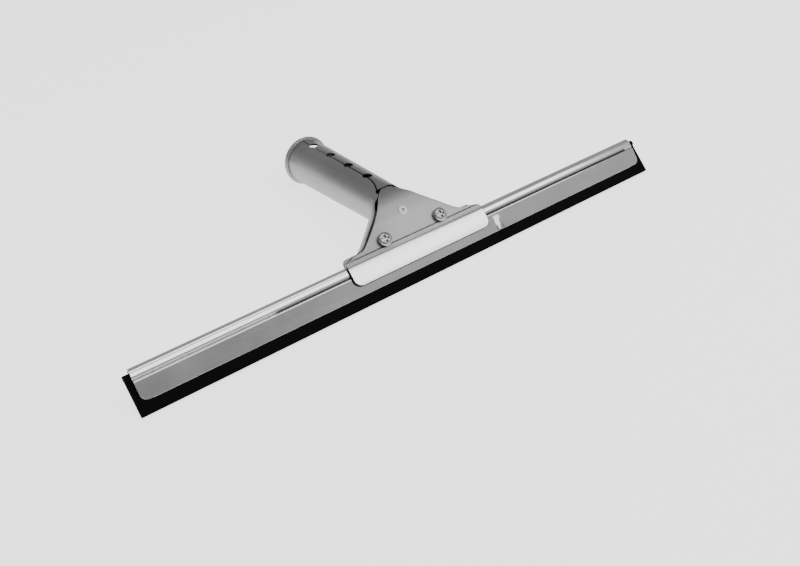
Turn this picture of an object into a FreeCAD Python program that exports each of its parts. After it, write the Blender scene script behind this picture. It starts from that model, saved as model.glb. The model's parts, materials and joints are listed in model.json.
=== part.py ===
"""Window squeegee: stamped steel socket handle, clamp jaw, folded channel and rubber blade.

Everything is drawn in the blade's own frame: X along the blade, Y up the blade towards the
handle, Z out of the front face, with the origin where the clamp lip bends.  At the end all
pieces are tilted together so that the wiping edge and the socket's rim rest on Z = 0.
"""
import FreeCAD
import Part
import Sketcher
import math
import os

Vector = FreeCAD.Vector

DIMENSIONS = {
    # rubber blade
    "rubber_length": 350.0,
    "rubber_reach": 22.7,          # wiping edge below the lip's bend
    "rubber_thickness": 2.0,
    "rubber_head_width": 4.2,
    "rubber_head_height": 3.6,
    "rubber_head_top": -0.6,
    "blade_plane": -4.5,           # height of the blade's middle plane
    # folded channel
    "channel_length": 343.0,
    "channel_sheet": 0.8,
    "channel_width": 6.1,
    "channel_top": 1.8,
    "channel_reach": 16.6,
    "channel_mouth": 3.9,
    "channel_corner": 4.0,
    "groove_height": -4.6,
    "groove_depth": 0.55,
    "groove_half": 1.0,
    "crimp_from": 51.4,
    "crimp_width": 3.6,
    "crimp_crest": 2.2,            # ridge line from the ridge's left side
    "crimp_low": -15.6,
    "crimp_high": -7.2,
    "crimp_proud": 0.5,
    # clamp jaw with its lip
    "jaw_sheet": 1.2,
    "lip_half_width": 47.2,
    "lip_reach": 11.6,
    "lip_corner": 5.0,
    "wing_end_height": 3.4,
    "wing_corner": 2.0,
    "jaw_recess": 1.0,
    "joggle_start": 0.2,
    "joggle_end": 3.0,
    "bend_start": 15.0,
    "bend_radius": 33.0,
    "jaw_top": 35.2,
    # handle stamping
    "handle_sheet": 1.2,
    "rim_below_jaw": 3.0,          # the dish's rim stands lower than the jaw's front
    "throat_above_jaw": 0.2,       # the socket's front line stands higher than it
    "side_gap": 1.0,               # between jaw and rim, measured along X
    "crown_gap": 0.4,
    "side_wall": 1.6,              # the rim's thickness, measured along X
    "floor_below_jaw": 8.0,        # outer face of the dish's floor
    "tube_angle": 49.6,
    "socket_radius": 14.2,
    "socket_straight": 16.0,
    "neck_radius": 12.75,
    "neck_distance": 80.0,
    "socket_length": 127.0,
    "mouth_along": 87.1,
    "mouth_below": 87.0,
    "bead_radius": 1.5,
    "seam_width": 0.9,
    "seam_offset": -0.5,
    "seam_straight": 74.0,
    "seam_middle": 86.5,
    "seam_middle_offset": -2.1,
    "seam_end": 95.5,
    "seam_end_offset": -6.2,
    "notch_radius": 3.0,
    "notch_offset": 0.9,
    "notch_first": 12.8,
    "notch_pitch": 20.75,
    "back_jaw_reach": 11.0,
    "back_jaw_half_width": 45.0,
    "back_jaw_corner": 3.0,
    # clamp screws, washers and nuts
    "screw_half_spacing": 19.2,
    "screw_height": 6.6,
    "screw_radius": 1.95,
    "screw_length": 12.0,
    "screw_hole_radius": 2.25,
    "head_radius": 4.0,
    "head_height": 2.2,
    "head_crown": 1.0,
    "recess_span": 4.4,
    "recess_width": 1.1,
    "recess_depth": 1.5,
    "washer_radius": 3.1,
    "washer_bore": 2.1,
    "washer_thickness": 0.9,
    "nut_flats": 7.0,
    "nut_height": 3.0,
    "nut_bore": 2.0,
    # tubular rivet at the head's centre
    "rivet_height": 17.9,
    "rivet_bore": 0.9,
    "rivet_shank": 1.9,
    "rivet_grip": 8.2,
    "rivet_hole_radius": 1.92,
    "rivet_head": 2.9,
    "rivet_dome": 0.9,
}

# the head's edge from the wings up to its crown: half width and height
HEAD_SIDE = [(38.0, 5.35), (34.6, 5.8), (31.6, 7.0), (25.5, 12.0), (18.95, 18.0), (13.2, 24.0),
             (8.6, 29.4), (5.2, 32.9)]
for place, (half_width, height) in enumerate(HEAD_SIDE):
    DIMENSIONS[f"head_half_width_{place}"] = half_width
    DIMENSIONS[f"head_height_{place}"] = height

NOTCHES = 4
FAR = 200.0                        # reaches past every piece
SIDES = {"left": -1, "right": 1}

document = FreeCAD.newDocument("squeegee")
sheet = document.addObject("Spreadsheet::Sheet", "Sizes")
pieces = []


def fill_sheet():
    """Write every driving dimension into the sheet, one aliased cell a row."""
    for row, (alias, value) in enumerate(DIMENSIONS.items(), start=1):
        sheet.set(f"A{row}", alias)
        sheet.set(f"B{row}", str(value))
        sheet.setAlias(f"B{row}", alias)
    document.recompute()


def size(alias):
    """Read one dimension back from the sheet."""
    return float(sheet.get(alias))


# ---------------------------------------------------------------- sketches and bodies

def new_body(label):
    """A PartDesign body named after its piece."""
    body = document.addObject("PartDesign::Body", label)
    body.Label = label
    pieces.append(body)
    return body


def origin_plane(body, role):
    """One of the body's own origin planes."""
    return next(item for item in body.Origin.OriginFeatures if item.Role == role)


def new_sketch(body, name, role):
    """An empty sketch on one of the body's origin planes."""
    sketch = body.newObject("Sketcher::SketchObject", name)
    sketch.AttachmentSupport = [(origin_plane(body, role), "")]
    sketch.MapMode = "FlatFace"
    return sketch


def pin_point(sketch, geometry, vertex, expressions):
    """Hold a sketch vertex at coordinates that the sheet drives."""
    for kind, expression in zip(("DistanceX", "DistanceY"), expressions):
        index = sketch.addConstraint(Sketcher.Constraint(kind, -1, 1, geometry, vertex, 1.0))
        sketch.setExpression(f"Constraints[{index}]", expression)


def draw_polygon(sketch, corners):
    """A closed polygon whose corners are pairs of sheet expressions."""
    count = len(corners)
    guess = [Vector(math.cos(2 * math.pi * i / count), math.sin(2 * math.pi * i / count), 0)
             for i in range(count)]
    first = sketch.GeometryCount
    for i in range(count):
        sketch.addGeometry(Part.LineSegment(guess[i], guess[(i + 1) % count]))
    for i in range(count):
        following = first + (i + 1) % count
        sketch.addConstraint(Sketcher.Constraint("Coincident", first + i, 2, following, 1))
    for i, expressions in enumerate(corners):
        pin_point(sketch, first + i, 1, expressions)


def draw_circle(sketch, centre, radius):
    """A circle whose centre and radius are sheet expressions."""
    index = sketch.addGeometry(Part.Circle(Vector(0, 0, 0), Vector(0, 0, 1), 1.0))
    pin_point(sketch, index, 3, centre)
    constraint = sketch.addConstraint(Sketcher.Constraint("Radius", index, 1.0))
    sketch.setExpression(f"Constraints[{constraint}]", radius)


def pad(body, sketch, length, midplane=False):
    """Pad a sketch by a sheet expression."""
    feature = body.newObject("PartDesign::Pad", sketch.Name + "_pad")
    feature.Profile = sketch
    feature.setExpression("Length", length)
    feature.Midplane = midplane
    return feature


def pocket(body, sketch, depth):
    """Cut a sketch into the body by a sheet expression."""
    feature = body.newObject("PartDesign::Pocket", sketch.Name + "_pocket")
    feature.Profile = sketch
    feature.setExpression("Length", depth)
    return feature


def revolve(body, sketch):
    """Turn a sketch all the way round its own vertical axis."""
    feature = body.newObject("PartDesign::Revolution", sketch.Name + "_turned")
    feature.Profile = sketch
    feature.ReferenceAxis = (sketch, ["V_Axis"])
    feature.Angle = 360
    return feature


# ---------------------------------------------------------------- bent sheet metal

def wire_of(points_and_arcs):
    """A wire from straight runs, (start, end), and arcs, (start, middle, end)."""
    edges = []
    for item in points_and_arcs:
        if len(item) == 2:
            edges.append(Part.LineSegment(*item).toShape())
        else:
            edges.append(Part.Arc(*item).toShape())
    return Part.Wire(edges)


def section(y, z):
    """A point of the cross section, in the plane X = 0."""
    return Vector(0, y, z)


def extrude_across(face, half_width):
    """Extrude a cross section symmetrically along X."""
    solid = face.extrude(Vector(2 * half_width, 0, 0))
    solid.translate(Vector(-half_width, 0, 0))
    return solid


def front_arc(height, turn):
    """The head's bent line at a height: an arc that turns back from the flat, and its end."""
    radius = size("bend_radius") + height + size("jaw_recess")
    centre = section(size("bend_start"), height - radius)
    middle = centre + section(radius * math.sin(turn / 2), radius * math.cos(turn / 2))
    end = centre + section(radius * math.sin(turn), radius * math.cos(turn))
    return (section(size("bend_start"), height), middle, end), end


def tube_direction():
    """Unit vector along the socket, from the head out to the mouth."""
    angle = math.radians(size("tube_angle"))
    return Vector(0, math.cos(angle), -math.sin(angle))


def tube_front():
    """Unit vector from the socket's axis to its seam."""
    angle = math.radians(size("tube_angle"))
    return Vector(0, math.sin(angle), math.cos(angle))


def mouth_centre():
    """Centre of the socket's mouth."""
    return Vector(0, size("mouth_along"), -size("mouth_below"))


# ---------------------------------------------------------------- outlines seen from the front

def head_side(gap):
    """Places on the head's right edge, moved out by a gap."""
    return [Vector(size(f"head_half_width_{place}") + gap, size(f"head_height_{place}"), 0)
            for place in range(len(HEAD_SIDE))]


def head_edges(gap, crown_gap):
    """The head's edge as two smooth curves, one from each wing up to the crown."""
    wing_end = Vector(size("lip_half_width") - size("wing_corner"), size("wing_end_height"), 0)
    start = (head_side(0)[0] - wing_end).normalize()
    curve = Part.BSplineCurve()
    curve.interpolate(Points=head_side(gap) + [Vector(0, size("jaw_top") + crown_gap, 0)],
                      InitialTangent=start, FinalTangent=Vector(-1, 0, 0))
    return mirrored([curve.toShape()])


def mirrored(edges):
    """Edges together with their mirror image in the plane X = 0."""
    return edges + [edge.mirror(Vector(0, 0, 0), Vector(1, 0, 0)) for edge in edges]


def prism(edges):
    """A closed outline extruded along Z both ways."""
    solid = Part.Face(Part.Wire(Part.__sortEdges__(edges))).extrude(Vector(0, 0, 2 * FAR))
    solid.translate(Vector(0, 0, -FAR))
    return solid


def jaw_outline():
    """Outline of the clamp jaw: lip, wings and head plate."""
    half = size("lip_half_width")
    low = -size("lip_reach")
    corner = size("lip_corner")
    wing = size("wing_end_height")
    wing_corner = size("wing_corner")
    slant = math.sqrt(0.5)
    wing_inner = head_side(0)[0]
    right = wire_of([
        (Vector(0, low, 0), Vector(half - corner, low, 0)),
        (Vector(half - corner, low, 0),
         Vector(half - corner * (1 - slant), low + corner * (1 - slant), 0),
         Vector(half, low + corner, 0)),
        (Vector(half, low + corner, 0), Vector(half, wing - wing_corner, 0)),
        (Vector(half, wing - wing_corner, 0),
         Vector(half - wing_corner * (1 - slant), wing - wing_corner * (1 - slant), 0),
         Vector(half - wing_corner, wing, 0)),
        (Vector(half - wing_corner, wing, 0), wing_inner),
    ]).Edges
    return mirrored(right) + head_edges(0, 0)


# ---------------------------------------------------------------- pieces

def make_rubber_blade():
    """Flat blade with a swollen head that the channel grips."""
    body = new_body("rubber_blade")
    half = "Sizes.rubber_thickness / 2"
    blade = new_sketch(body, "blade_section", "YZ_Plane")
    draw_polygon(blade, [
        ("-Sizes.rubber_reach", f"Sizes.blade_plane - {half}"),
        ("Sizes.rubber_head_top - 1", f"Sizes.blade_plane - {half}"),
        ("Sizes.rubber_head_top - 1", f"Sizes.blade_plane + {half}"),
        ("-Sizes.rubber_reach", f"Sizes.blade_plane + {half}"),
    ])
    pad(body, blade, "Sizes.rubber_length", midplane=True)
    head = new_sketch(body, "head_section", "YZ_Plane")
    wide = "Sizes.rubber_head_width / 2"
    draw_polygon(head, [
        ("Sizes.rubber_head_top - Sizes.rubber_head_height", f"Sizes.blade_plane - {half}"),
        ("Sizes.rubber_head_top - Sizes.rubber_head_height + 0.8", f"Sizes.blade_plane - {wide}"),
        ("Sizes.rubber_head_top - 0.9", f"Sizes.blade_plane - {wide}"),
        ("Sizes.rubber_head_top", f"Sizes.blade_plane - {wide} + 0.9"),
        ("Sizes.rubber_head_top", f"Sizes.blade_plane + {wide} - 0.9"),
        ("Sizes.rubber_head_top - 0.9", f"Sizes.blade_plane + {wide}"),
        ("Sizes.rubber_head_top - Sizes.rubber_head_height + 0.8", f"Sizes.blade_plane + {wide}"),
        ("Sizes.rubber_head_top - Sizes.rubber_head_height", f"Sizes.blade_plane + {half}"),
    ])
    pad(body, head, "Sizes.rubber_length", midplane=True)


def channel_side(sign):
    """Middle line of one leg of the channel, from its mouth up to the crown's side."""
    middle = size("blade_plane")
    thick = size("channel_sheet")
    wide = (size("channel_width") - thick) / 2 * sign
    narrow = (size("channel_mouth") - thick) / 2 * sign
    groove = size("groove_height")
    half = size("groove_half")
    dip = size("groove_depth") * sign
    low = section(-size("channel_reach") + thick / 2, middle + narrow)
    below = section(groove - half, middle + wide - 0.25 * dip)
    bottom = section(groove, middle + wide - dip)
    above = section(groove + half, middle + wide)
    top = section(size("channel_top") - size("channel_width") / 2, middle + wide)
    return [low, below, bottom, above, top]


def make_channel():
    """Strip of sheet folded over the rubber's head, with a groove pressed in both legs."""
    front = channel_side(1)
    back = channel_side(-1)
    crown = section(size("channel_top") - size("channel_sheet") / 2, size("blade_plane"))
    items = list(zip(front, front[1:]))
    items.append((front[-1], crown, back[-1]))
    items += [(b, a) for a, b in reversed(list(zip(back, back[1:])))]
    face = Part.Face(wire_of(items).makeOffset2D(size("channel_sheet") / 2))
    strip = extrude_across(face, size("channel_length") / 2)
    strip = strip.cut(corner_waste(-1)).cut(corner_waste(1))
    strip = strip.fuse(crimp()).removeSplitter()
    feature = document.addObject("Part::Feature", "channel")
    feature.Shape = strip
    pieces.append(feature)


def corner_waste(sign):
    """What is trimmed off to round both legs' lower corners at one end."""
    radius = size("channel_corner")
    end = sign * size("channel_length") / 2
    low = -size("channel_reach")
    slant = math.sqrt(0.5) * radius
    over = Vector(sign, 0, 0)
    start = Vector(end - sign * radius, low, 0)
    middle = Vector(end - sign * (radius - slant), low + radius - slant, 0)
    finish = Vector(end, low + radius, 0)
    wire = wire_of([
        (start, middle, finish), (finish, finish + over),
        (finish + over, Vector(end + sign, low - 1, 0)),
        (Vector(end + sign, low - 1, 0), Vector(start.x, low - 1, 0)),
        (Vector(start.x, low - 1, 0), start),
    ])
    depth = 2 * size("channel_width")
    waste = Part.Face(wire).extrude(Vector(0, 0, 2 * depth))
    waste.translate(Vector(0, 0, size("blade_plane") - depth))
    return waste


def crimp():
    """Ridge pinched up on the front leg beside the lip, which keeps the rubber from sliding."""
    left = size("crimp_from")
    right = left + size("crimp_width")
    crest = left + size("crimp_crest")
    skin = size("channel_sheet") / 2
    surface = size("blade_plane") + (size("channel_width") - size("channel_sheet")) / 2
    foot = size("blade_plane") + (size("channel_mouth") - size("channel_sheet")) / 2
    leg_low = -size("channel_reach") + skin
    leg_high = size("groove_height") - size("groove_half")
    slope = (surface - foot) / (leg_high - leg_low)
    low, high = size("crimp_low"), size("crimp_high")
    low_z = foot + slope * (low - leg_low)
    triangle = Part.makePolygon([
        Vector(left, low, low_z), Vector(right, low, low_z),
        Vector(crest, low, low_z + skin + size("crimp_proud")), Vector(left, low, low_z)])
    return Part.Face(triangle).extrude(Vector(0, high - low, slope * (high - low)))


def hole_cutter(x, y, radius):
    """Round cutter along Z at a place on the head."""
    return Part.makeCylinder(radius, 2 * FAR, Vector(x, y, -FAR), Vector(0, 0, 1))


def with_holes(shape):
    """The shape with its two screw holes and the rivet's hole."""
    for sign in SIDES.values():
        shape = shape.cut(hole_cutter(sign * size("screw_half_spacing"), size("screw_height"),
                                      size("screw_hole_radius")))
    return shape.cut(hole_cutter(0, size("rivet_height"), size("rivet_hole_radius")))


def make_front_jaw():
    """Clamp plate: lip over the channel, joggle, flat seat and a top that follows the bend."""
    thick = size("jaw_sheet")
    lip = -thick / 2
    seat = -size("jaw_recess") - thick / 2
    spare = 2.0
    past_crown = math.asin((size("jaw_top") + spare - size("bend_start")) / size("bend_radius"))
    arc, _ = front_arc(seat, past_crown)
    face = Part.Face(wire_of([
        (section(-size("lip_reach") - spare, lip), section(size("joggle_start"), lip)),
        (section(size("joggle_start"), lip), section(size("joggle_end"), seat)),
        (section(size("joggle_end"), seat), section(size("bend_start"), seat)),
        arc,
    ]).makeOffset2D(thick / 2))
    slab = extrude_across(face, FAR)
    plate = slab.common(prism(jaw_outline()))
    feature = document.addObject("Part::Feature", "front_jaw")
    feature.Shape = with_holes(plate)
    pieces.append(feature)


def behind_profile(height):
    """Everything behind the head's bent line at a height and the socket's line beyond it."""
    angle = math.radians(size("tube_angle")) - taper_angle()
    arc, end = front_arc(height, angle)
    far = end + section(math.cos(angle), -math.sin(angle)) * FAR
    corners = [far, section(far.y, -FAR), section(-FAR, -FAR), section(-FAR, height), arc[0]]
    items = [arc, (end, far)] + list(zip(corners, corners[1:]))
    return extrude_across(Part.Face(wire_of(items)), FAR)


def taper_angle():
    """Slope of the socket's wall to its axis, in radians."""
    run = size("neck_distance") - size("socket_straight")
    return math.atan((size("socket_radius") - size("neck_radius")) / run)


def socket_solid(inset, reach):
    """Socket as a turned solid: straight at the mouth, then tapering towards the head."""
    mouth = size("socket_radius") - inset
    neck = size("neck_radius") - inset
    straight = size("socket_straight")
    slope = (mouth - neck) / (size("neck_distance") - straight)
    far = mouth - slope * (reach - straight)
    into = tube_direction() * -1
    start = mouth_centre() + tube_direction() * (0.5 if inset else 0.0)
    barrel = Part.makeCylinder(mouth, straight + (0.5 if inset else 0.0), start, into)
    cone = Part.makeCone(mouth, far, reach - straight, mouth_centre() + into * straight, into)
    return barrel.fuse(cone)


def head_prism(gap, crown_gap):
    """The head's outline as a prism, moved out by a gap and closed below along the wings."""
    start = head_side(gap)[0]
    base = Part.LineSegment(Vector(-start.x, start.y, 0), start).toShape()
    return prism([base] + head_edges(gap, crown_gap))


def above_channel(low):
    """Half space on the handle's side of the channel."""
    return Part.makeBox(2 * FAR, FAR, 2 * FAR, Vector(-FAR, low, -FAR))


def back_jaw():
    """Flat part of the stamping that grips the channel's back."""
    half = size("back_jaw_half_width")
    reach = size("back_jaw_reach")
    top = head_side(0)[0].y + size("handle_sheet")
    plate = Part.makeBox(2 * half, top + reach, size("handle_sheet"),
                         Vector(-half, -reach, floor_height()))
    corners = [edge for edge in plate.Edges if edge.tangentAt(edge.FirstParameter).z ** 2 > 0.5]
    return plate.makeFillet(size("back_jaw_corner"), corners)


def notches():
    """Round holes punched along the seam."""
    direction = tube_direction()
    cutters = []
    for i in range(NOTCHES):
        distance = size("notch_first") + i * size("notch_pitch")
        centre = mouth_centre() - direction * distance + Vector(size("notch_offset"), 0, 0)
        cutters.append(Part.makeCylinder(size("notch_radius"), FAR, centre, tube_front()))
    return cutters


def seam_slot():
    """Gap between the rolled sheet's two edges: straight, then curving to the jaw's shoulder."""
    side = size("seam_offset")
    end_side = size("seam_end_offset")
    straight, end = size("seam_straight"), size("seam_end")
    past_mouth = Vector(side, size("bead_radius") + size("seam_width"), 0)
    bend = Vector(side, -straight, 0)
    middle = Vector(size("seam_middle_offset"), -size("seam_middle"), 0)
    line = wire_of([(past_mouth, bend), (bend, middle, Vector(end_side, -end, 0))])
    slot = Part.Face(line.makeOffset2D(size("seam_width") / 2)).extrude(Vector(0, 0, FAR))
    slot.rotate(Vector(0, 0, 0), Vector(1, 0, 0), -size("tube_angle"))
    slot.translate(mouth_centre())
    return slot


def rolled_bead():
    """Edge of the mouth rolled outwards."""
    ring = size("socket_radius") - size("handle_sheet") + size("bead_radius")
    return Part.makeTorus(ring, size("bead_radius"), mouth_centre(), tube_direction())


def floor_height():
    """Outer face of the dish's floor."""
    return -size("jaw_recess") - size("floor_below_jaw")


def make_handle_body():
    """One stamping: rolled socket that opens into a rimmed dish and ends as the back jaw."""
    thick = size("handle_sheet")
    rim = -size("jaw_recess") - size("rim_below_jaw")
    throat = -size("jaw_recess") + size("throat_above_jaw")
    floor = floor_height()
    side, crown = size("side_gap"), size("crown_gap")
    low = head_side(0)[0].y
    outside = head_prism(side + size("side_wall"), crown + thick).common(behind_profile(rim))
    outside = outside.cut(behind_profile(floor))
    opening = head_prism(side, crown).cut(behind_profile(floor + thick))
    reach = size("socket_length")
    outer_tube = socket_solid(0.0, reach).common(behind_profile(throat))
    outer_tube = outer_tube.common(above_channel(low))
    inner_tube = socket_solid(thick, reach).common(behind_profile(throat - thick))
    inner_tube = inner_tube.common(above_channel(low - 1))
    half = head_side(side)[0].x
    doorway = Part.makeBox(2 * half, 2, -floor + 10, Vector(-half, low - 1, floor + thick))
    shell = outside.fuse(outer_tube).removeSplitter()
    shell = shell.cut(opening.fuse(inner_tube).fuse(doorway))
    shell = shell.fuse(back_jaw()).fuse(rolled_bead())
    mouth = mouth_centre() + tube_direction() * size("socket_straight")
    shell = shell.cut(Part.makeCylinder(size("socket_radius") - thick,
                                        2 * size("socket_straight"), mouth,
                                        tube_direction() * -1))
    for cutter in notches() + [seam_slot()]:
        shell = shell.cut(cutter)
    feature = document.addObject("Part::Feature", "handle_body")
    feature.Shape = with_holes(shell).removeSplitter()
    pieces.append(feature)


def place_on_plate(body, x, y, z):
    """Put a piece that was drawn upright at a place on the head."""
    body.Placement = FreeCAD.Placement(Vector(x, y, z), FreeCAD.Rotation())


def seat_height():
    """Front face of the jaw's flat seat."""
    return -size("jaw_recess")


def make_screw(side, sign):
    """Pan head clamp screw with a cross recess, drawn upright with its seat at Z = 0."""
    body = new_body(f"clamp_screw_{side}")
    turned = new_sketch(body, f"screw_profile_{side}", "XZ_Plane")
    draw_polygon(turned, [
        ("0", "-Sizes.screw_length"),
        ("Sizes.screw_radius - 0.5", "-Sizes.screw_length"),
        ("Sizes.screw_radius", "-Sizes.screw_length + 0.5"),
        ("Sizes.screw_radius", "0"),
        ("Sizes.head_radius", "0"),
        ("Sizes.head_radius", "Sizes.head_height - Sizes.head_crown"),
        ("Sizes.head_radius - 0.35", "Sizes.head_height - 0.55 * Sizes.head_crown"),
        ("Sizes.head_radius - Sizes.head_crown", "Sizes.head_height - 0.15 * Sizes.head_crown"),
        ("0.4 * Sizes.head_radius", "Sizes.head_height"),
        ("0", "Sizes.head_height"),
    ])
    revolve(body, turned)
    for index, (along, across) in enumerate((("recess_span", "recess_width"),
                                             ("recess_width", "recess_span"))):
        slot = new_sketch(body, f"recess_{side}_{index}", "XY_Plane")
        slot.AttachmentOffset.Base = Vector(0, 0, 0)
        slot.setExpression("AttachmentOffset.Base.z", "Sizes.head_height")
        draw_polygon(slot, [
            (f"-Sizes.{along} / 2", f"-Sizes.{across} / 2"),
            (f"Sizes.{along} / 2", f"-Sizes.{across} / 2"),
            (f"Sizes.{along} / 2", f"Sizes.{across} / 2"),
            (f"-Sizes.{along} / 2", f"Sizes.{across} / 2"),
        ])
        pocket(body, slot, "Sizes.recess_depth")
    place_on_plate(body, sign * size("screw_half_spacing"), size("screw_height"),
                   seat_height() + size("washer_thickness"))


def make_ring(label, outer, inner, thickness):
    """Plain ring between two radii, from Z = 0 up."""
    body = new_body(label)
    ring = new_sketch(body, label + "_section", "XY_Plane")
    draw_circle(ring, ("0", "0"), outer)
    draw_circle(ring, ("0", "0"), inner)
    pad(body, ring, thickness)
    return body


def make_washer(side, sign):
    """Lock washer between a screw's head and the jaw."""
    body = make_ring(f"lock_washer_{side}", "Sizes.washer_radius", "Sizes.washer_bore",
                     "Sizes.washer_thickness")
    place_on_plate(body, sign * size("screw_half_spacing"), size("screw_height"), seat_height())


def make_nut(side, sign):
    """Hexagon nut behind the dish's floor, fixed to it."""
    body = new_body(f"clamp_nut_{side}")
    hexagon = new_sketch(body, f"nut_section_{side}", "XY_Plane")
    corner = "Sizes.nut_flats / sqrt(3)"
    draw_polygon(hexagon, [(f"{corner} * cos({60 * i})", f"{corner} * sin({60 * i})")
                           for i in range(6)])
    draw_circle(hexagon, ("0", "0"), "Sizes.nut_bore")
    pad(body, hexagon, "Sizes.nut_height")
    place_on_plate(body, sign * size("screw_half_spacing"), size("screw_height"),
                   floor_height() - size("nut_height"))


def make_rivet():
    """Tubular rivet through the jaw and the dish's floor; its domed head shows at the front."""
    body = new_body("centre_rivet")
    profile = new_sketch(body, "rivet_profile", "XZ_Plane")
    draw_polygon(profile, [
        ("Sizes.rivet_bore", "-Sizes.rivet_grip - 0.6"),
        ("Sizes.rivet_shank + 0.9", "-Sizes.rivet_grip - 0.6"),
        ("Sizes.rivet_shank + 0.9", "-Sizes.rivet_grip"),
        ("Sizes.rivet_shank", "-Sizes.rivet_grip"),
        ("Sizes.rivet_shank", "0"),
        ("Sizes.rivet_head", "0"),
        ("Sizes.rivet_head - 0.25", "0.5 * Sizes.rivet_dome"),
        ("0.6 * Sizes.rivet_head", "Sizes.rivet_dome"),
        ("Sizes.rivet_bore", "Sizes.rivet_dome"),
    ])
    revolve(body, profile)
    place_on_plate(body, 0, size("rivet_height"), seat_height())


# ---------------------------------------------------------------- resting pose and export

def lowest(points, radius, angle):
    """Lowest height that circles of a radius about some points reach after a tilt."""
    return min(p.y * math.sin(angle) + p.z * math.cos(angle) for p in points) - radius


def rest_angle():
    """Tilt, in radians, at which the wiping edge and the socket's rim touch one plane."""
    middle = size("blade_plane")
    half = size("rubber_thickness") / 2
    edge = [section(-size("rubber_reach"), middle - half)]
    ring = size("socket_radius") - size("handle_sheet") + size("bead_radius")
    rim = [mouth_centre() - tube_front() * ring]
    low, high = 0.0, math.pi / 2
    while high - low > 1e-9:
        angle = (low + high) / 2
        if lowest(edge, 0, angle) < lowest(rim, size("bead_radius"), angle):
            high = angle
        else:
            low = angle
    return angle


def tilt_and_centre():
    """Tilt every piece together and put the origin under the middle of the whole box."""
    angle = rest_angle()
    tilt = FreeCAD.Placement(Vector(0, 0, 0), FreeCAD.Rotation(Vector(1, 0, 0),
                                                               math.degrees(angle)))
    for piece in pieces:
        piece.Placement = tilt.multiply(piece.Placement)
    document.recompute()
    box = FreeCAD.BoundBox()
    for piece in pieces:
        box.add(piece.Shape.optimalBoundingBox(False))
    shift = FreeCAD.Placement(Vector(-box.Center.x, -box.Center.y, -box.ZMin), FreeCAD.Rotation())
    for piece in pieces:
        piece.Placement = shift.multiply(piece.Placement)
    document.recompute()
    print("tilt degrees", round(math.degrees(angle), 4))
    print("blade frame origin", [round(v, 4) for v in shift.Base])
    print("box", [round(v, 2) for v in (box.XLength, box.YLength, box.ZLength)])


def check_and_export():
    """Stop on any failed object or bad shape, then write one STEP file a piece."""
    for item in document.Objects:
        if "Invalid" in item.State or "Error" in item.State:
            raise RuntimeError(f"{item.Name} failed: {item.State}")
    os.makedirs("parts", exist_ok=True)
    for piece in pieces:
        shape = piece.Shape
        if shape.isNull() or not shape.isValid():
            raise RuntimeError(f"{piece.Label} has a bad shape")
        print(f"{piece.Label}: {len(shape.Solids)} solid, {shape.Volume:.1f} mm3")
        shape.exportStep(f"parts/{piece.Label}.step")


def main():
    """Build the document piece by piece."""
    fill_sheet()
    make_handle_body()
    make_front_jaw()
    make_channel()
    make_rubber_blade()
    make_rivet()
    for side, sign in SIDES.items():
        make_screw(side, sign)
        make_washer(side, sign)
        make_nut(side, sign)
    document.recompute()
    tilt_and_centre()
    check_and_export()


main()
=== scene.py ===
import json
import math

import bmesh
import bpy
from mathutils import Matrix, Vector
from mathutils.bvhtree import BVHTree


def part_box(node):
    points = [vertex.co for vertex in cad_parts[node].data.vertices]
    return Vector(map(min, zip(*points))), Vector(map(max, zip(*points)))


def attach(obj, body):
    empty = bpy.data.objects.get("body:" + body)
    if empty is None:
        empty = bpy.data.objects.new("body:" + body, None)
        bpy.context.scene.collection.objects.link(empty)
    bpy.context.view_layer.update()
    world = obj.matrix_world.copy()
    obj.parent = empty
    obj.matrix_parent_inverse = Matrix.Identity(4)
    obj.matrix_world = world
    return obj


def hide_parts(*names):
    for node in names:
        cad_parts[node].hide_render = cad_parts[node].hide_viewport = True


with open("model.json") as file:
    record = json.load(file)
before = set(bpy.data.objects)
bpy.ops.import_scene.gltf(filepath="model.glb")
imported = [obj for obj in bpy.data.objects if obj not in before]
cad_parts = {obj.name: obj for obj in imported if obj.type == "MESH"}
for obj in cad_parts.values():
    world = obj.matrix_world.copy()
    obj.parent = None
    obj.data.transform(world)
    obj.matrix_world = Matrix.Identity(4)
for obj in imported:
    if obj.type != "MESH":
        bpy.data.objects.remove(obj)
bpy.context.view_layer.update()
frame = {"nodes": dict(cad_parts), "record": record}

bl_info = {
    "name": "Window Squeegee",
    "version": (1, 0, 0),
    "blender": (4, 5, 0),
    "location": "3D View > Sidebar > Squeegee",
    "description": "Builds the looks of a clamped window squeegee around its frame",
    "category": "Object",
}

MM = 0.001
SIDES = ("left", "right")


# ---------------------------------------------------------------- the blade's own axes

def joint(name):
    """A joint of the tool by its name."""
    for entry in frame["record"]["behaviour"]["joints"]:
        if entry["name"] == name:
            return entry
    raise RuntimeError(f"the tool has no joint named {name}")


class BladeAxes:
    """Axes of the head: along the blade, up the head, and out of its front."""

    SCREW_HEIGHT = 6.6 * MM       # screws above the lip's bend
    WASHER_BASE = -0.1 * MM       # height of the screw joints over the lip's front

    def __init__(self):
        left = Vector(joint("left_screw_turn")["pos_m"])
        right = Vector(joint("right_screw_turn")["pos_m"])
        self.along = Vector(joint("channel_slide")["axis"]).normalized()
        self.out = Vector(joint("left_screw_lift")["axis"]).normalized()
        self.up = self.out.cross(self.along).normalized()
        self.origin = (left + right) / 2 - self.up * self.SCREW_HEIGHT
        self.origin -= self.out * self.WASHER_BASE

    def point(self, along, up, out):
        """A place given by its distances along the three axes."""
        return self.origin + self.along * along + self.up * up + self.out * out


AXES = BladeAxes()


# ---------------------------------------------------------------- sizes and colours

def distance(name, description, default):
    """A length that can be changed in the sidebar."""
    return bpy.props.FloatProperty(name=name, description=description, default=default,
                                   unit="LENGTH", subtype="DISTANCE", precision=5)


def colour(name, description, default):
    """A colour that can be changed in the sidebar."""
    return bpy.props.FloatVectorProperty(name=name, description=description, default=default,
                                         size=3, min=0.0, max=1.0, subtype="COLOR")


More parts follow.
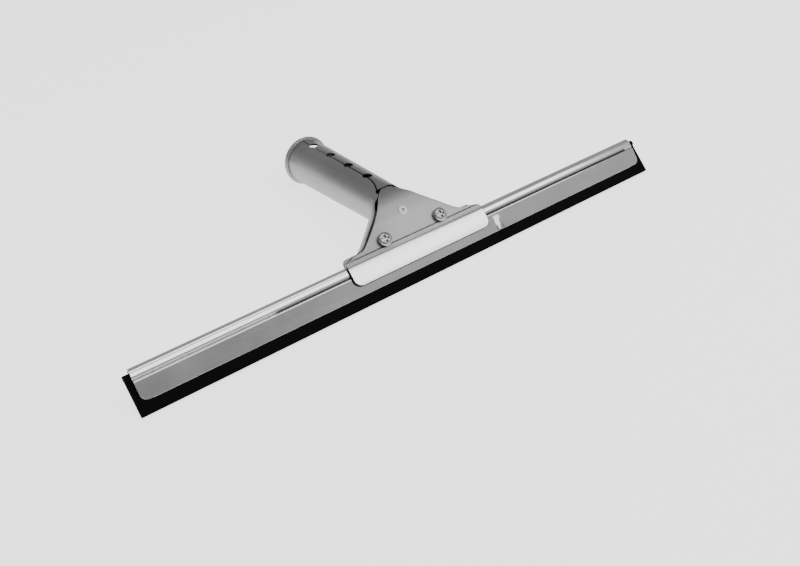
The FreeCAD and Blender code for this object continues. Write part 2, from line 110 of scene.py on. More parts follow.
def ratio(name, description, default):
    """A share between nothing and one that can be changed in the sidebar."""
    return bpy.props.FloatProperty(name=name, description=description, default=default,
                                   min=0.0, max=1.0, subtype="FACTOR")


class HandleSettings(bpy.types.PropertyGroup):
    """Stamped handle with its socket."""

    edge: distance("Edge", "Rounding of the sheet's cut edges", 0.22 * MM)
    steel: colour("Steel", "Colour of the satin sheet", (0.31, 0.313, 0.31))
    roughness: ratio("Roughness", "Dullness of the satin sheet", 0.48)


class JawSettings(bpy.types.PropertyGroup):
    """Clamp plate with its polished lip."""

    sheet: distance("Sheet", "Thickness of the plate", 1.2 * MM)
    edge: distance("Edge", "Rounding of the plate's edges", 0.5 * MM)
    steel: colour("Steel", "Colour of the plate", (0.41, 0.415, 0.41))
    lip_steel: colour("Lip steel", "Colour of the polished lip", (0.86, 0.86, 0.85))
    # painted shadow: the dark colour of the plate's edges round the lip
    painted_shadow_cut_steel: colour("Cut steel", "Colour of the edge round the lip", (0.02, 0.02, 0.02))
    roughness: ratio("Roughness", "Dullness of the satin plate", 0.4)
    lip_roughness: ratio("Lip roughness", "Dullness of the polished lip", 0.16)


class ChannelSettings(bpy.types.PropertyGroup):
    """Folded strip that holds the rubber."""

    length: distance("Length", "Length of the strip",
                     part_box("channel")[1].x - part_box("channel")[0].x)
    sheet: distance("Sheet", "Thickness of the folded sheet", 0.8 * MM)
    corner: distance("Corner", "Radius of the legs' lower corners", 4.0 * MM)
    steel: colour("Steel", "Colour of the polished strip", (0.76, 0.76, 0.745))
    roughness: ratio("Roughness", "Dullness of the polished strip", 0.14)


class RubberSettings(bpy.types.PropertyGroup):
    """Wiping blade."""

    edge: distance("Edge", "Rounding of the rubber's edges", 0.12 * MM)
    rubber: colour("Rubber", "Colour of the rubber", (0.002, 0.002, 0.002))
    roughness: ratio("Roughness", "Dullness of the rubber", 0.62)


class HardwareSettings(bpy.types.PropertyGroup):
    """Screws, washers, nuts and rivet."""

    edge: distance("Edge", "Rounding of the small pieces' edges", 0.12 * MM)
    screw_steel: colour("Screw steel", "Colour of the screws", (0.38, 0.38, 0.375))
    washer_steel: colour("Washer steel", "Colour of the washers", (0.22, 0.22, 0.22))
    nut_steel: colour("Nut steel", "Colour of the nuts", (0.55, 0.55, 0.54))
    rivet_steel: colour("Rivet steel", "Colour of the rivet", (0.95, 0.95, 0.94))


class StageSettings(bpy.types.PropertyGroup):
    """Floor, lights and camera."""

    floor_size: distance("Floor", "Width of the floor", 8.0)
    floor_colour: colour("Floor colour", "Colour of the floor", (0.9, 0.9, 0.9))
    floor_glow: bpy.props.FloatProperty(
        name="Floor glow", description="Light that the floor gives off by itself",
        default=2.0, min=0.0, max=4.0)
    sky: ratio("Sky", "Strength of the even light from all round", 0.42)


# ---------------------------------------------------------------- materials

class Value:
    """A shader socket that can be written in sums."""

    def __init__(self, paint, socket):
        self.paint = paint
        self.socket = socket

    def joined(self, operation, first, second):
        """A Math node on two numbers or sockets."""
        return self.paint.add("ShaderNodeMath", {"operation": operation}, {0: first, 1: second})

    def __add__(self, other):
        return self.joined("ADD", self, other)

    def __radd__(self, other):
        return self.joined("ADD", other, self)

    def __sub__(self, other):
        return self.joined("SUBTRACT", self, other)

    def __rsub__(self, other):
        return self.joined("SUBTRACT", other, self)

    def __mul__(self, other):
        return self.joined("MULTIPLY", self, other)

    def __rmul__(self, other):
        return self.joined("MULTIPLY", other, self)


class Paint:
    """A material and the short ways in which its nodes are added."""

    def __init__(self, material):
        if isinstance(material, str):
            material = bpy.data.materials.new(material)
            material.use_nodes = True
        self.material = material
        self.tree = self.material.node_tree
        self.shader = self.tree.nodes["Principled BSDF"]

    def add(self, kind, settings=None, inputs=None, out=0):
        """A node of a type, with its settings made before its sockets are filled."""
        node = self.tree.nodes.new(kind)
        for key, value in (settings or {}).items():
            setattr(node, key, value)
        for key, value in (inputs or {}).items():
            self.fill(node.inputs[key], value)
        return Value(self, node.outputs[out])

    def fill(self, socket, value):
        """Link a socket, or set its number or colour."""
        if isinstance(value, Value):
            self.tree.links.new(value.socket, socket)
        else:
            socket.default_value = value

    def finish(self, **sockets):
        """Fill the shader's sockets, named with underscores for spaces."""
        for name, value in sockets.items():
            self.fill(self.shader.inputs[name.replace("_", " ")], value)
        return self.material

    def place(self):
        """Position on the piece."""
        return self.add("ShaderNodeTexCoord", out="Object")

    def turned(self, turn):
        """Position on the piece, turned about the origin."""
        return self.add("ShaderNodeMapping", inputs={"Vector": self.place(), "Rotation": turn})

    def stretched(self, turn, scale):
        """Position turned and scaled, for patterns that run one way."""
        return self.add("ShaderNodeMapping",
                        inputs={"Vector": self.turned(turn), "Scale": scale})

    def part(self, vector, letter):
        """One of a position's three numbers, by its letter."""
        return self.add("ShaderNodeSeparateXYZ", inputs={"Vector": vector}, out=letter)

    def linked(self, name):
        """What feeds a socket of the shader now."""
        return Value(self, self.shader.inputs[name].links[0].from_socket)

    def noise(self, place, scale, detail=4.0, roughness=0.55):
        """Cloudy noise between nothing and one."""
        return self.add("ShaderNodeTexNoise", inputs={
            "Vector": place, "Scale": scale, "Detail": detail, "Roughness": roughness}, out="Fac")

    def rise(self, value, low, high):
        """Smooth step of a value between two limits."""
        return self.add("ShaderNodeMapRange",
                        {"interpolation_type": "SMOOTHSTEP"},
                        {"Value": value, "From Min": low, "From Max": high}, out="Result")

    def blend(self, share, first, second):
        """Mix of two colours."""
        node = self.tree.nodes.new("ShaderNodeMix")
        node.data_type = "RGBA"
        self.fill(node.inputs[0], share)
        self.fill(node.inputs[6], first)
        self.fill(node.inputs[7], second)
        return Value(self, node.outputs[2])

    def bump(self, height, depth, strength=1.0):
        """Bumped normal from a height between nothing and one."""
        return self.add("ShaderNodeBump", inputs={
            "Height": height, "Distance": depth, "Strength": strength}, out="Normal")


def shade(tone, share):
    """A colour made lighter or darker, as a shader's four numbers."""
    return tuple(min(1.0, channel * share) for channel in tone) + (1.0,)


COARSE_GRAIN = 0.22               # scale of the streaks and scratches beside the fine grain's
CUT_GRAIN = (300.0, 300.0, 1800.0)
EVEN = (0.0, 0.0, 0.0)


def brushed_steel(name, tone, roughness, turn, scale, depth=0.00001, wear=0.12):
    """Steel with a grain in one direction, soft smudges and a few long scratches."""
    paint = Paint(name)
    place = paint.place()
    grain = paint.noise(paint.stretched(turn, scale), 1.0, 5.0, 0.65)
    smudges = paint.noise(place, 42.0, 5.0, 0.6)
    coarse = paint.stretched(turn, tuple(COARSE_GRAIN * share for share in scale))
    scratches = paint.rise(paint.noise(coarse, 1.0, 8.0, 0.75), 0.66, 0.72)
    specks = paint.rise(paint.noise(place, 900.0, 2.0, 0.5), 0.7, 0.78)
    streaks = paint.noise(coarse, 1.0, 4.0, 0.6)
    colour_share = grain * 0.25 + streaks * 0.4 + smudges * 0.35
    base = paint.blend(colour_share, shade(tone, 0.55), shade(tone, 1.4))
    base = paint.blend(scratches * 0.3 + specks * 0.2, base, shade(tone, 0.62))
    rough = roughness + (grain - 0.5) * wear + (smudges - 0.5) * wear * 1.2 + scratches * 0.1
    height = grain * 0.8 + scratches * -0.9 + specks * -0.6
    return paint.finish(Base_Color=base, Roughness=rough, Metallic=1.0,
                        Normal=paint.bump(height, depth, 0.5))


def lip_and_plate_steel(settings):
    """Plate steel, darker to the top and the left by painted shade, that turns bright and smooth
    on the lip, where painted shade darkens it next to the bend.
    """
    paint = Paint("jaw_steel")
    turn = (-blade_tilt(), 0.0, 0.0)
    head = paint.turned(turn)
    along, up = paint.part(head, "X"), paint.part(head, "Y")
    bend = AXES.origin.dot(AXES.up)
    grain = paint.noise(paint.stretched(turn, (90.0, 2600.0, 2600.0)), 1.0, 5.0, 0.65)
    smudges = paint.noise(paint.place(), 38.0, 5.0, 0.6)
    scratches = paint.rise(paint.noise(paint.stretched(turn, (25.0, 620.0, 620.0)),
                                       1.0, 8.0, 0.75), 0.66, 0.72)
    streaks = paint.noise(paint.stretched(turn, (7.0, 260.0, 260.0)), 1.0, 3.0)
    share = grain * 0.4 + smudges * 0.6
    plate = paint.blend(share, shade(settings.steel, 0.6), shade(settings.steel, 1.33))
    # painted shade: the plate's colour darkens towards the top and the left
    painted_top_left_shade = (paint.rise(up, bend + 15.0 * MM, bend + 30.0 * MM) * 0.5
              + paint.rise(along, -6.0 * MM, -26.0 * MM) * 0.4)
    plate = paint.blend(painted_top_left_shade, plate, shade(settings.steel, 0.4))
    lip = paint.blend(share * 0.5 + streaks * 0.5, shade(settings.lip_steel, 0.7),
                      shade(settings.lip_steel, 1.16))
    # painted shade: the lip's colour darkens towards its bend
    painted_bend_shade = paint.rise(up, bend - 5.0 * MM, bend)
    lip = paint.blend(painted_bend_shade * 0.55, lip, shade(settings.lip_steel, 0.62))
    on_plate = paint.rise(up, bend - 0.3 * MM, bend + 0.6 * MM)
    base = paint.blend(on_plate, lip, plate)
    base = paint.blend(scratches * 0.3, base, shade(settings.steel, 0.7))
    rough = settings.lip_roughness + on_plate * (settings.roughness - settings.lip_roughness)
    rough = rough + (grain - 0.5) * 0.1 + (smudges - 0.5) * 0.1 + scratches * 0.08
    return paint.finish(Base_Color=base, Roughness=rough, Metallic=1.0,
                        Normal=paint.bump(grain * 0.8 - scratches, 0.00001, 0.45))


def cut_edge_painted_shadow(settings):
    """Plate's cut edges: painted shadow in a dark colour round the lip, and bare steel above the
    wings.
    """
    turn = (-blade_tilt(), 0.0, 0.0)
    paint = Paint(brushed_steel("painted_shadow_cut_steel", settings.steel, 0.45, turn, CUT_GRAIN))
    up = paint.part(paint.turned(turn), "Y")
    bend = AXES.origin.dot(AXES.up)
    # painted shadow: edges below the lip's bend take the dark colour, bare steel shows above
    bare = paint.rise(up, bend, bend + 4.0 * MM)
    return paint.finish(Base_Color=paint.blend(bare, shade(settings.painted_shadow_cut_steel, 1.0),
                                               paint.linked("Base Color")))


def channel_steel(settings):
    """Steel drawn along the strip, darker on the leg by painted shade, with painted shade along
    the groove.
    """
    turn = (-blade_tilt(), 0.0, 0.0)
    paint = Paint(brushed_steel("channel_steel", settings.steel, settings.roughness, turn,
                                (30.0, 2400.0, 2400.0), 0.000006, 0.07))
    head = paint.turned(turn)
    along, up = paint.part(head, "X"), paint.part(head, "Y")
    groove = AXES.origin.dot(AXES.up) + GROOVE_HEIGHT * MM
    # painted shade: the leg below the groove turns darker in colour only
    satin = paint.rise(up, groove - 0.4 * MM, groove - 1.2 * MM)
    drawn = paint.blend(satin * 0.5, paint.linked("Base Color"), shade(settings.steel, 0.4))
    # painted shade: a dark line along the groove
    low = paint.rise(up, groove - 1.0 * MM, groove - 0.55 * MM)
    high = paint.rise(up, groove + 1.0 * MM, groove + 0.55 * MM)
    thick = paint.rise(along, THICK_GROOVE_SHADE_FROM * MM, (THICK_GROOVE_SHADE_FROM + 5.0) * MM)
    ended = paint.rise(along, (GROOVE_SHADE_END + 1.0) * MM, GROOVE_SHADE_END * MM)
    painted_groove_shade = paint.blend(low * high * ended * (0.25 + thick * 0.65), drawn,
                        shade(settings.steel, 0.06))
    return paint.finish(Base_Color=painted_groove_shade)


def wiping_rubber(settings):
    """Matt black rubber with a fine skin and a little dust."""
    paint = Paint("blade_rubber")
    place = paint.place()
    skin = paint.noise(place, 2600.0, 4.0, 0.6)
    drawn = paint.noise(paint.stretched(EVEN, (40.0, 1500.0, 1500.0)), 1.0, 4.0)
    dust = paint.rise(paint.noise(place, 60.0, 6.0, 0.65), 0.5, 0.85)
    base = paint.blend(dust * 0.35 + skin * 0.1, shade(settings.rubber, 1.0),
                       shade(settings.rubber, 3.2))
    rough = settings.roughness + (skin - 0.5) * 0.12 + dust * 0.12
    return paint.finish(Base_Color=base, Roughness=rough, Specular_IOR_Level=0.05,
                        Normal=paint.bump(skin * 0.5 + drawn * 0.5, 0.00002, 0.5))


def floor_paint(tone, glow):
    """Plain pale floor that gives off light of its own, with a barely uneven sheen."""
    paint = Paint("floor_paint")
    cloud = paint.noise(paint.place(), 6.0, 4.0, 0.5)
    return paint.finish(Base_Color=shade(tone, 1.0), Roughness=0.75 + (cloud - 0.5) * 0.1,
                        Specular_IOR_Level=0.1, Emission_Color=shade(tone, 1.0),
                        Emission_Strength=glow)


# ---------------------------------------------------------------- shaping

def blade_tilt():
    """Angle by which the head leans back from the floor's plane."""
    return math.atan2(AXES.up.z, AXES.up.y)


def tube_axis():
    """Direction of the socket, from the head out to its mouth."""
    return Vector(frame["record"]["mounts"][0]["axis"]).normalized()


def finished(shape, name, material, smooth_angle=35.0):
    """Make a piece from a bmesh, smooth but for its sharp edges."""
    mesh = bpy.data.meshes.new(name)
    shape.to_mesh(mesh)
    shape.free()
    for polygon in mesh.polygons:
        polygon.use_smooth = True
    mesh.set_sharp_from_angle(angle=math.radians(smooth_angle))
    mesh.materials.append(material)
    piece = bpy.data.objects.new(name, mesh)
    bpy.context.scene.collection.objects.link(piece)
    return piece


def rounded(piece, width, segments=3, angle=30.0, clamped=True):
    """Round a piece's sharp edges with a live bevel."""
    bevel = piece.modifiers.new("edges", "BEVEL")
    bevel.width = width
    bevel.segments = segments
    bevel.limit_method = "ANGLE"
    bevel.angle_limit = math.radians(angle)
    bevel.use_clamp_overlap = clamped
    bevel.harden_normals = True
    return piece


def copied(node, name, material, edge, segments=2, angle=35.0):
    """A merged copy of a CAD node with its edges rounded, which stands in for the node."""
    shape = bmesh.new()
    shape.from_mesh(frame["nodes"][node].data)
    bmesh.ops.remove_doubles(shape, verts=shape.verts, dist=0.002 * MM)
    bmesh.ops.dissolve_limit(shape, angle_limit=math.radians(0.4), verts=shape.verts,
                             edges=shape.edges)
    bmesh.ops.triangulate(shape, faces=[face for face in shape.faces if len(face.verts) > 4])
    piece = finished(shape, name, material, angle)
    rounded(piece, edge, segments, angle)
    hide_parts(node)
    return piece


def arc(centre, radius, start, end, count):
    """Points on an arc in a plane, with both ends."""
    turns = [start + (end - start) * step / count for step in range(count + 1)]
    return [(centre[0] + radius * math.cos(turn), centre[1] + radius * math.sin(turn))
            for turn in turns]


# ---------------------------------------------------------------- clamp plate

# millimetres on the head, from the lip's bend
LIP_HALF_WIDTH = 47.2
LIP_REACH = 11.6
LIP_CORNER = 5.0
WING_HEIGHT = 3.4
WING_CORNER = 2.0
PLATE_TOP = 35.2
LIP_CROWN = 0.12
HALF_SHEET = 0.6
RECESS = 1.0                      # drop from the lip to the plate's seat
BEND_START = 15.0
BEND_RADIUS = 33.0
EDGE_STRIP = 0.6                  # width of the strip of faces kept along the outline
# the joggle's two bends and the slope between them: start, end, share of the drop
JOGGLE = ((-0.7, 1.0, 0.6), (0.9, 2.9, 0.1), (2.7, 3.9, 0.3))
# heights at which the plate's side is found, close together where it curves most
SIDE_HEIGHTS = (5.35, 5.8, 7.0, 12.0, 18.0, 24.0, 29.4, 32.9)
CROWN_SHOULDER = (2.4, 34.7)      # half width and height of the crown beside its top


def smoothed(points, steps):
    """More points on a smooth curve through the given ones."""
    result = []
    for index in range(len(points) - 1):
        before = points[max(index - 1, 0)]
        first, second = points[index], points[index + 1]
        after = points[min(index + 2, len(points) - 1)]
        for step in range(steps):
            t = step / steps
            weights = (-0.5 * t + t * t - 0.5 * t ** 3, 1 - 2.5 * t * t + 1.5 * t ** 3,
                       0.5 * t + 2 * t * t - 1.5 * t ** 3, -0.5 * t * t + 0.5 * t ** 3)
            result.append(tuple(sum(weight * point[axis] for weight, point in
                                    zip(weights, (before, first, second, after)))
                                for axis in (0, 1)))
    result.append(points[-1])
    return result


def plate_side():
    """Half widths of the solid plate at a few heights, met by a line from its right."""
    solid = frame["nodes"]["front_jaw"].data
    tree = BVHTree.FromPolygons([vert.co for vert in solid.vertices],
                                [face.vertices for face in solid.polygons])
    side = []
    for up in SIDE_HEIGHTS:
        start = AXES.point(2 * LIP_HALF_WIDTH * MM, up * MM, plate_height(up) * MM)
        met = tree.ray_cast(start, -AXES.along)[0]
        if met is None:
            raise RuntimeError(f"the plate has no side at height {up}")
        side.append(((met - AXES.origin).dot(AXES.along) / MM, up))
    return side


def plate_outline():
    """Right half of the plate's outline, from the lip's edge round the wing to the crown."""
    inner = LIP_HALF_WIDTH - LIP_CORNER
    points = arc((inner, -LIP_REACH + LIP_CORNER), LIP_CORNER, -math.pi / 2, 0.0, 14)
    points += arc((LIP_HALF_WIDTH - WING_CORNER, WING_HEIGHT - WING_CORNER), WING_CORNER,
                  0.0, math.radians(75.0), 8)
    side = [points[-1]] + plate_side() + [CROWN_SHOULDER, (0.0, PLATE_TOP)]
    return points + smoothed(side, 7)[1:]


def plate_height(up):
    """Middle of the plate's sheet over the lip's front, by height on the head."""
    level = -HALF_SHEET
    for start, end, share in JOGGLE:
        part = min(max((up - start) / (end - start), 0.0), 1.0)
        level -= RECESS * share * part * part * (3 - 2 * part)
    if up < 0:
        middle = -LIP_REACH / 2
        level -= LIP_CROWN * ((up - middle) / middle) ** 2
    else:
        level -= LIP_CROWN
    if up > BEND_START:
        radius = BEND_RADIUS - HALF_SHEET
        level += math.sqrt(radius ** 2 - (up - BEND_START) ** 2) - radius
    return level


def folds(start, end, spacing):
    """Evenly spaced heights from one to another."""
    return [start + spacing * step for step in range(math.floor((end - start) / spacing) + 1)]


def plate_folds():
    """Heights on the head at which the plate is scored so that it can bend."""
    lip = folds(1.0 - LIP_REACH, -1.0, 1.0)
    joggle = folds(JOGGLE[0][0] - 0.1, JOGGLE[-1][1] + 0.2, 0.2)
    return lip + joggle + folds(BEND_START, PLATE_TOP, 0.7)


def clamp_plate(settings):
    """Plate with its lip, joggle and bent top: a flat blank that is scored and then bent."""
    right = plate_outline()
    outline = right + [(-half, up) for half, up in reversed(right[:-1])]
    shape = bmesh.new()
    shape.faces.new([shape.verts.new((half, up, 0.0)) for half, up in outline])
    bmesh.ops.inset_region(shape, faces=shape.faces[:], thickness=EDGE_STRIP,
                           use_even_offset=True)
    for fold in plate_folds():
        bmesh.ops.bisect_plane(shape, geom=shape.verts[:] + shape.edges[:] + shape.faces[:],
                               dist=0.0001, plane_co=(0.0, fold, 0.0), plane_no=(0.0, 1.0, 0.0))
    for vert in shape.verts:
        half, up = vert.co.x, vert.co.y
        vert.co = AXES.point(half * MM, up * MM, plate_height(up) * MM)
    bmesh.ops.remove_doubles(shape, verts=shape.verts, dist=0.001 * MM)
    bmesh.ops.recalc_face_normals(shape, faces=shape.faces)
    if sum((face.normal for face in shape.faces), Vector()).dot(AXES.out) < 0:
        bmesh.ops.reverse_faces(shape, faces=shape.faces)
    plate = finished(shape, "clamp_plate", lip_and_plate_steel(settings), 60.0)
    wall = plate.modifiers.new("sheet", "SOLIDIFY")
    wall.thickness = settings.sheet
    wall.offset = 0.0
    wall.use_even_offset = True
    wall.material_offset_rim = 1
    plate.data.materials.append(cut_edge_painted_shadow(settings))
    rounded(plate, settings.edge, clamped=False)
    plate.modifiers["edges"].material = 1
    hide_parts("front_jaw")
    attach(plate, "handle")
    return plate


# ---------------------------------------------------------------- channel

# millimetres on the head, from the lip's bend
CHANNEL_MIDDLE = -4.5
CHANNEL_WIDTH = 6.1
CHANNEL_MOUTH = 3.9
CHANNEL_TOP = 1.8
CHANNEL_REACH = 16.6
GROOVE_HEIGHT = -4.6
GROOVE_HALF = 1.0
GROOVE_DEPTH = 0.7
THICK_GROOVE_SHADE_FROM = -96.0           # painted shade in the groove is thick from here to its end
GROOVE_SHADE_END = 165.0
# pinch in the front leg: how far it stands out at places along the strip, and its ends
CRIMP = ((51.0, 0.0), (51.8, 0.95), (54.0, 0.95), (55.2, 0.5), (56.4, 0.2), (57.8, 0.0))
CRIMP_LOW = -15.6
CRIMP_HIGH = -7.2


def channel_leg(sheet):
    """Middle line of the front leg from its mouth up to the crown: height and half width."""
    half_mouth = (CHANNEL_MOUTH - sheet) / 2
    half_wide = (CHANNEL_WIDTH - sheet) / 2
    low = -CHANNEL_REACH + sheet / 2
    below = GROOVE_HEIGHT - GROOVE_HALF
    above = GROOVE_HEIGHT + GROOVE_HALF
    shoulder = CHANNEL_TOP - CHANNEL_WIDTH / 2
    straight = 22
    leg = [(low + (below - low) * step / straight,
            half_mouth + (half_wide - half_mouth) * step / straight)
           for step in range(straight)]
    steps = 10
    for step in range(steps + 1):
        share = step / steps
        dip = GROOVE_DEPTH * math.sin(math.pi * share) ** 2
        leg.append((below + (above - below) * share, half_wide - dip))
    leg += [(above + (shoulder - above) * share, half_wide) for share in (0.5, 1.0)]
    crown = arc((shoulder, 0.0), half_wide, math.pi / 2, 0.0, 12)[1:-1]
    return leg + crown


def channel_stations(settings):
    """Places along the strip at which its section is repeated."""
    half = settings.length / 2 / MM
    flat = half - settings.corner / MM
    places = [-flat + 2 * flat * step / 60 for step in range(61)]
    places += [along for along, lift in CRIMP]
    ends = [flat + (half - flat) * step / 8 for step in range(1, 9)]
    return sorted(set(places + ends + [-place for place in ends]))


def crimped(along, up):
    """How far the front leg is pinched out at a place."""
    depth = min(max((CRIMP_HIGH - up) / (CRIMP_HIGH - CRIMP_LOW), 0.0), 1.0)
    for (start, low), (end, high) in zip(CRIMP, CRIMP[1:]):
        if start <= along <= end:
            return depth * (low + (high - low) * (along - start) / (end - start))
    return 0.0


def rubber_channel(settings):
    """Folded strip: one section drawn as a wire, then extruded from end to end."""
    sheet = settings.sheet / MM
    leg = channel_leg(sheet)
    section = [(up, half) for up, half in leg] + [(CHANNEL_TOP - sheet / 2, 0.0)]
    section += [(up, -half) for up, half in reversed(leg)]
    stations = channel_stations(settings)
    half_length = settings.length / 2 / MM
    corner = settings.corner / MM
    low = -CHANNEL_REACH + sheet / 2
    shape = bmesh.new()
    wire = [shape.verts.new((stations[0], up, out)) for up, out in section]
    edges = [shape.edges.new(pair) for pair in zip(wire, wire[1:])]
    for before, after in zip(stations, stations[1:]):
        made = bmesh.ops.extrude_edge_only(shape, edges=edges)["geom"]
        edges = [part for part in made if isinstance(part, bmesh.types.BMEdge)]
        fresh = [part for part in made if isinstance(part, bmesh.types.BMVert)]
        bmesh.ops.translate(shape, verts=fresh, vec=(after - before, 0, 0))
    for vert in shape.verts:
        along, up, out = vert.co
        limit = half_length
        if up < low + corner:
            limit -= corner - math.sqrt(max(corner ** 2 - (low + corner - up) ** 2, 0.0))
        flat = half_length - corner
        if abs(along) > flat:
            share = (abs(along) - flat) / corner
            along = math.copysign(flat + share * (limit - flat), along)
        lift = crimped(along, up) if out > 0 else 0.0
        vert.co = AXES.point(along * MM, up * MM, (CHANNEL_MIDDLE + out + lift) * MM)
    bmesh.ops.remove_doubles(shape, verts=shape.verts, dist=0.001 * MM)
    bmesh.ops.recalc_face_normals(shape, faces=shape.faces)
    strip = finished(shape, "rubber_channel", channel_steel(settings), 50.0)
    wall = strip.modifiers.new("sheet", "SOLIDIFY")
    wall.thickness = settings.sheet
    wall.offset = 0.0
    wall.use_even_offset = True
    rounded(strip, 0.18 * MM, 2, 40.0, clamped=False)
    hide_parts("channel")
    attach(strip, "channel")
    return strip


# ---------------------------------------------------------------- stage

def area_light(name, place, size, power, aim, roll=0.0):
    """Soft lamp at a place, turned to a point and rolled about its own axis."""
    lamp = bpy.data.lights.new(name, "AREA")
    lamp.shape = "RECTANGLE"
    lamp.size, lamp.size_y = size
    lamp.energy = power
    holder = bpy.data.objects.new(name, lamp)
    turn = (Vector(aim) - Vector(place)).to_track_quat("-Z", "Y").to_matrix()
    holder.rotation_euler = (turn @ Matrix.Rotation(math.radians(roll), 3, "Z")).to_euler()
    holder.location = place
    bpy.context.scene.collection.objects.link(holder)
    return holder


def main_camera():
    """Camera in front of the head and above it, looking down along the blade."""
    data = bpy.data.cameras.new("camera")
    data.lens = 38.25
    data.sensor_width = 36.0
    camera = bpy.data.objects.new("camera", data)
    bpy.context.scene.collection.objects.link(camera)
    forward = Vector((0.4358, 0.6599, -0.6121))
    turn = Matrix.Rotation(math.radians(3.947), 4, forward)
    pose = turn @ forward.to_track_quat("-Z", "Y").to_matrix().to_4x4()
    pose.translation = Vector((-0.22631, -0.37709, 0.29187))
    camera.matrix_world = pose
    bpy.context.scene.camera = camera
    return camera


# ---------------------------------------------------------------- operators

# millimetres in the socket, from its mouth
SOCKET_RADIUS = 14.2
SOCKET_NARROW = 12.75
SOCKET_STRAIGHT = 16.0
SOCKET_LENGTH = 80.0
SOCKET_DEPTH = 8.0                # where the socket's named place lies
PAINTED_SHADE_END = 92.0                   # the painted shade on the inner wall fades out towards here


def painted_shade_inside(material, axis):
    """Paint shade on the socket's inner wall behind its outer skin, and make it duller."""
    paint = Paint(material)
    mouth = Vector(frame["record"]["mounts"][0]["pos_m"]) + axis * SOCKET_DEPTH * MM
    turn = math.atan2(axis.z, axis.y)
    centre = Matrix.Rotation(-turn, 3, "X") @ mouth
    near = paint.add("ShaderNodeVectorMath", {"operation": "SUBTRACT"},
                     {0: paint.turned((-turn, 0.0, 0.0)), 1: tuple(centre)})
    across = paint.add("ShaderNodeVectorMath", {"operation": "MULTIPLY"},
                       {0: near, 1: (1.0, 0.0, 1.0)})
    radius = paint.add("ShaderNodeVectorMath", {"operation": "LENGTH"}, {0: across},
                       out="Value")
    along = paint.part(near, "Y")
    taper = (SOCKET_RADIUS - SOCKET_NARROW) / (SOCKET_LENGTH - SOCKET_STRAIGHT)
    skin = radius - SOCKET_RADIUS * MM - (along + SOCKET_STRAIGHT * MM) * taper
    # painted shade: the inner wall's colour turns dark
    painted_inner_shade = paint.rise(skin, -0.35 * MM, -0.75 * MM)
    painted_inner_shade = painted_inner_shade * paint.rise(along, -PAINTED_SHADE_END * MM, (8.0 - PAINTED_SHADE_END) * MM)
    dark = paint.blend(painted_inner_shade, paint.linked("Base Color"), (0.03, 0.03, 0.03, 1.0))
    return paint.finish(Base_Color=dark, Roughness=paint.linked("Roughness") + painted_inner_shade * 0.3)


class SQUEEGEE_OT_handle(bpy.types.Operator):
    """Build the stamped handle with its socket"""

    bl_idname = "squeegee.handle"
    bl_label = "Handle"

    def execute(self, context):
        settings = context.scene.squeegee_handle
        axis = tube_axis()
        turn = (-math.atan2(axis.z, axis.y), 0.0, 0.0)
        steel = brushed_steel("handle_steel", settings.steel, settings.roughness, turn,
                              (1800.0, 60.0, 1800.0))
        # painted shade inside the socket
        painted_shade_inside(steel, axis)
        piece = copied("handle_body", "socket_handle", steel, settings.edge)
        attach(piece, "handle")
        return {"FINISHED"}


class SQUEEGEE_OT_jaw(bpy.types.Operator):
    """Build the clamp plate and the rivet that holds it"""

    bl_idname = "squeegee.jaw"
    bl_label = "Clamp plate"

    def execute(self, context):
        clamp_plate(context.scene.squeegee_jaw)
        hardware = context.scene.squeegee_hardware
        steel = brushed_steel("rivet_steel", hardware.rivet_steel, 0.45, EVEN,
                              (900.0, 900.0, 900.0), 0.000006, 0.08)
        Paint(steel).finish(Metallic=0.1)
        rivet = copied("centre_rivet", "plate_rivet", steel, hardware.edge, angle=65.0)
        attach(rivet, "handle")
        return {"FINISHED"}


class SQUEEGEE_OT_screws(bpy.types.Operator):
    """Build both clamp screws with their washers and nuts"""

    bl_idname = "squeegee.screws"
    bl_label = "Screws"

    def execute(self, context):
        settings = context.scene.squeegee_hardware
        screw_steel = brushed_steel("screw_steel", settings.screw_steel, 0.2, EVEN,
                                    (1100.0, 1100.0, 1100.0), 0.000008, 0.1)
        washer_steel = brushed_steel("washer_steel", settings.washer_steel, 0.35, EVEN,
                                     (900.0, 900.0, 900.0))
        nut_steel = brushed_steel("nut_steel", settings.nut_steel, 0.3, EVEN,
                                  (900.0, 900.0, 900.0))
        for side in SIDES:
            screw = copied(f"clamp_screw_{side}", f"{side}_screw_body", screw_steel,
                           settings.edge, angle=65.0)
            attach(screw, f"{side}_screw")
            washer = copied(f"lock_washer_{side}", f"{side}_washer_ring", washer_steel,
                            settings.edge)
            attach(washer, f"{side}_washer")
            nut = copied(f"clamp_nut_{side}", f"{side}_nut_body", nut_steel, settings.edge)
            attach(nut, "handle")
        return {"FINISHED"}


class SQUEEGEE_OT_channel(bpy.types.Operator):
    """Build the folded channel"""

    bl_idname = "squeegee.channel"
    bl_label = "Channel"

    def execute(self, context):
        rubber_channel(context.scene.squeegee_channel)
        return {"FINISHED"}


class SQUEEGEE_OT_rubber(bpy.types.Operator):
    """Build the wiping blade"""

    bl_idname = "squeegee.rubber"
    bl_label = "Rubber"

    def execute(self, context):
        settings = context.scene.squeegee_rubber
        piece = copied("rubber_blade", "wiping_blade", wiping_rubber(settings), settings.edge)
        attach(piece, "rubber")
        return {"FINISHED"}


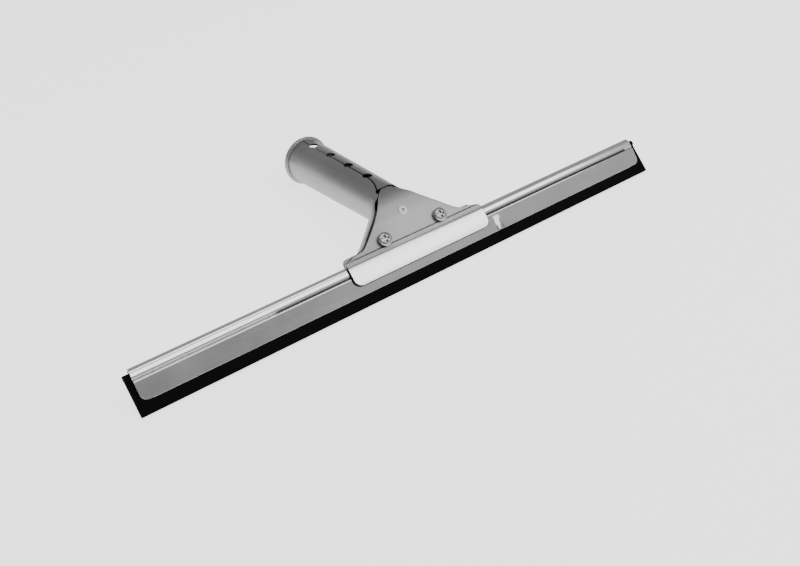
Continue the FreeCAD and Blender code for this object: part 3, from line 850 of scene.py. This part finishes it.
class SQUEEGEE_OT_stage(bpy.types.Operator):
    """Set the floor, the lights and the camera"""

    bl_idname = "squeegee.stage"
    bl_label = "Stage"

    def execute(self, context):
        settings = context.scene.squeegee_stage
        shape = bmesh.new()
        bmesh.ops.create_grid(shape, x_segments=1, y_segments=1, size=settings.floor_size / 2)
        floor = finished(shape, "floor", floor_paint(settings.floor_colour,
                                                      settings.floor_glow))
        world = bpy.data.worlds.new("studio")
        world.use_nodes = True
        sky = world.node_tree.nodes["Background"]
        sky.inputs["Color"].default_value = (1.0, 1.0, 1.0, 1.0)
        sky.inputs["Strength"].default_value = settings.sky
        context.scene.world = world
        lamps = [
            area_light("key", (0.42, -0.79, 0.985), (1.2, 0.3), 3.2, (0.0, 0.0, 0.02), -17.0),
            area_light("strip", (0.1, -0.2, 1.12), (1.05, 0.34), 3.6, (0.1, 0.0, 0.0)),
            area_light("front", (0.75, -1.0, 0.72), (1.4, 0.36), 0.5, (0.1, 0.0, 0.0)),
        ]
        main_camera()
        return {"FINISHED"}


OPERATORS = (SQUEEGEE_OT_handle, SQUEEGEE_OT_jaw, SQUEEGEE_OT_screws, SQUEEGEE_OT_channel,
             SQUEEGEE_OT_rubber, SQUEEGEE_OT_stage)


class SQUEEGEE_PT_panel(bpy.types.Panel):
    """Buttons that build the squeegee's pieces"""

    bl_idname = "SQUEEGEE_PT_panel"
    bl_label = "Squeegee"
    bl_space_type = "VIEW_3D"
    bl_region_type = "UI"
    bl_category = "Squeegee"

    def draw(self, context):
        for operator in OPERATORS:
            self.layout.operator(operator.bl_idname, text=operator.bl_label)


SETTINGS = {"squeegee_handle": HandleSettings, "squeegee_jaw": JawSettings,
            "squeegee_channel": ChannelSettings, "squeegee_rubber": RubberSettings,
            "squeegee_hardware": HardwareSettings, "squeegee_stage": StageSettings}


def register():
    """Make the settings, operators and panel known."""
    for name, group in SETTINGS.items():
        bpy.utils.register_class(group)
        setattr(bpy.types.Scene, name, bpy.props.PointerProperty(type=group))
    for operator in OPERATORS:
        bpy.utils.register_class(operator)
    bpy.utils.register_class(SQUEEGEE_PT_panel)


def unregister():
    """Take the panel, operators and settings away again."""
    bpy.utils.unregister_class(SQUEEGEE_PT_panel)
    for operator in reversed(OPERATORS):
        bpy.utils.unregister_class(operator)
    for name, group in SETTINGS.items():
        delattr(bpy.types.Scene, name)
        bpy.utils.unregister_class(group)


def main():
    """Build every piece and the stage."""
    register()
    for build in (bpy.ops.squeegee.handle, bpy.ops.squeegee.jaw, bpy.ops.squeegee.screws,
                  bpy.ops.squeegee.channel, bpy.ops.squeegee.rubber, bpy.ops.squeegee.stage):
        build()


if __name__ == "__main__":
    main()
